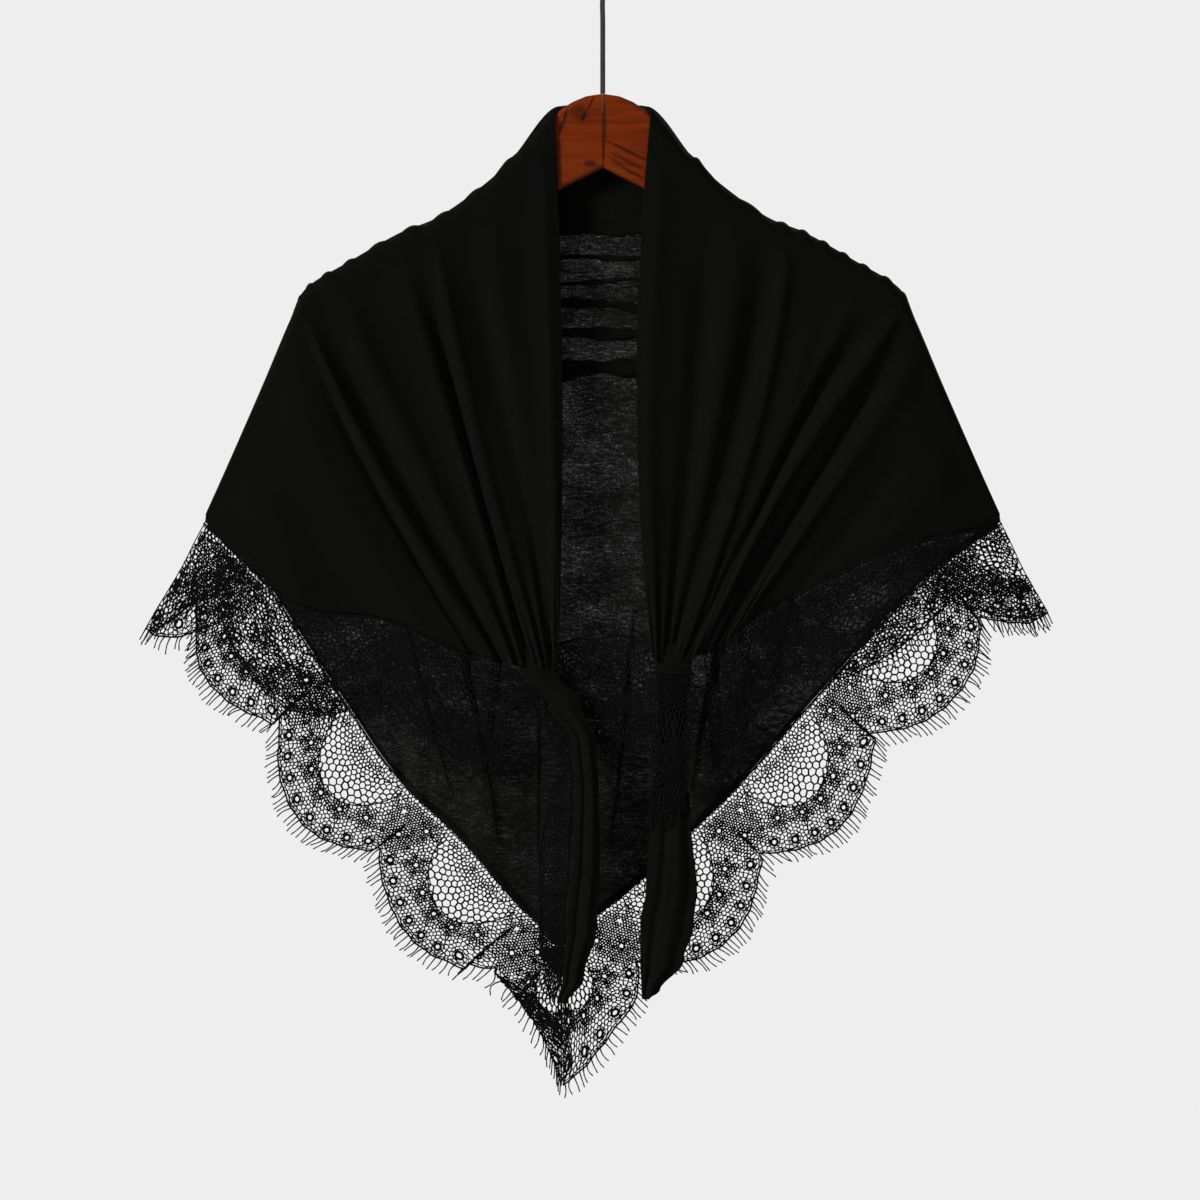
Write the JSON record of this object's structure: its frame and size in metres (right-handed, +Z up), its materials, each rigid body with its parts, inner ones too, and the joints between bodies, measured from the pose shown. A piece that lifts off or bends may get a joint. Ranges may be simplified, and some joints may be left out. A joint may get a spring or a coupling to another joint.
{
  "type": "jersey headscarf with lace edging on a wooden hanger",
  "caption": "Triangular lace-edged jersey headscarf draped as a shawl over a wooden hanger, fronts gathered into tails, hung by a wire hook.",
  "frame": {"origin": "the seat of the hook: the point at the top of its inside where it rests on a rail", "axes": "+X to the right across the shoulders, +Y to the back, +Z up; the fronts face -Y"},
  "size_m": [0.6647, 0.0328, 0.8627],
  "materials": {
    "jersey": "thin black slub-knit jersey, matt, slightly sheer in one layer",
    "lace": "black net lace with scallops, ring motifs and an eyelash fringe",
    "wood": "varnished orange-brown wood with darker streaks",
    "wire": "dark steel wire"
  },
  "bodies": {
    "root": {"hook": "wire", "hanger_arm_left": "wood", "hanger_arm_right": "wood", "back_panel": "jersey", "neck_band": "jersey", "front_left": "jersey", "front_right": "jersey", "tail_left": "jersey", "tail_right": "jersey", "lace_back_left": "lace", "lace_back_right": "lace", "lace_front_left": "lace", "lace_front_right": "lace", "lace_tail_left": "lace", "lace_tail_right": "lace", "lace_crossing": "lace", "fringe_back_left": "lace", "fringe_back_right": "lace", "fringe_front_left": "lace", "fringe_front_right": "lace", "fringe_tail_left": "lace", "fringe_tail_right": "lace", "fringe_crossing": "lace"}
  },
  "joints": []
}
